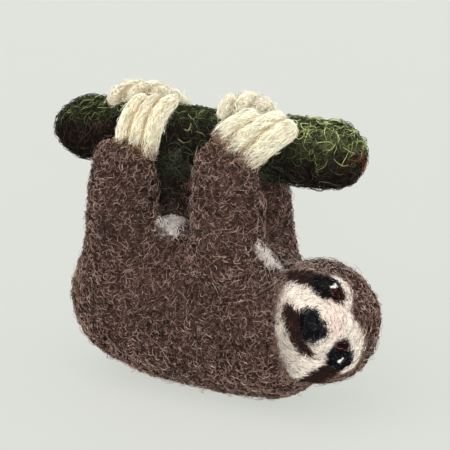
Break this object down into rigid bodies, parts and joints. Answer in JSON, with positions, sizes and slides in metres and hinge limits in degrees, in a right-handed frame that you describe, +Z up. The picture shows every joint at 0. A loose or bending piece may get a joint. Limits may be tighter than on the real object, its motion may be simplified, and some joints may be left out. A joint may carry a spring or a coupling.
{
  "type": "needle-felted sloth figure",
  "caption": "Needle-felted wool three-toed sloth lying on its back and gripping a short felted branch above its belly.",
  "frame": {"origin": "under the middle of the bounding box, on the surface that the back rests on", "axes": "+X from the rump to the head and along the branch, +Y to the figure's right side, +Z up"},
  "size_m": [0.108, 0.0498, 0.0926],
  "materials": {
    "brown_wool": "matt needle-felted wool with short loose fibres",
    "face_wool": "matt cream-pink needle-felted wool",
    "claw_wool": "smooth cream combed wool",
    "branch_wool": "dark felted wool under curly moss-green wool",
    "black_wool": "tightly felted black wool"
  },
  "bodies": {
    "root": {"trunk": "brown_wool", "head": "brown_wool", "muzzle": "face_wool", "foreleg_left": "brown_wool", "foreleg_right": "brown_wool", "hindleg_left": "brown_wool", "hindleg_right": "brown_wool", "foreclaw_left_1": "claw_wool", "foreclaw_left_2": "claw_wool", "foreclaw_left_3": "claw_wool", "foreclaw_right_1": "claw_wool", "foreclaw_right_2": "claw_wool", "foreclaw_right_3": "claw_wool", "hindclaw_left_1": "claw_wool", "hindclaw_left_2": "claw_wool", "hindclaw_left_3": "claw_wool", "hindclaw_right_1": "claw_wool", "hindclaw_right_2": "claw_wool", "hindclaw_right_3": "claw_wool", "branch": "branch_wool", "nose": "black_wool", "eye_left": "black_wool", "eye_right": "black_wool"}
  },
  "joints": []
}
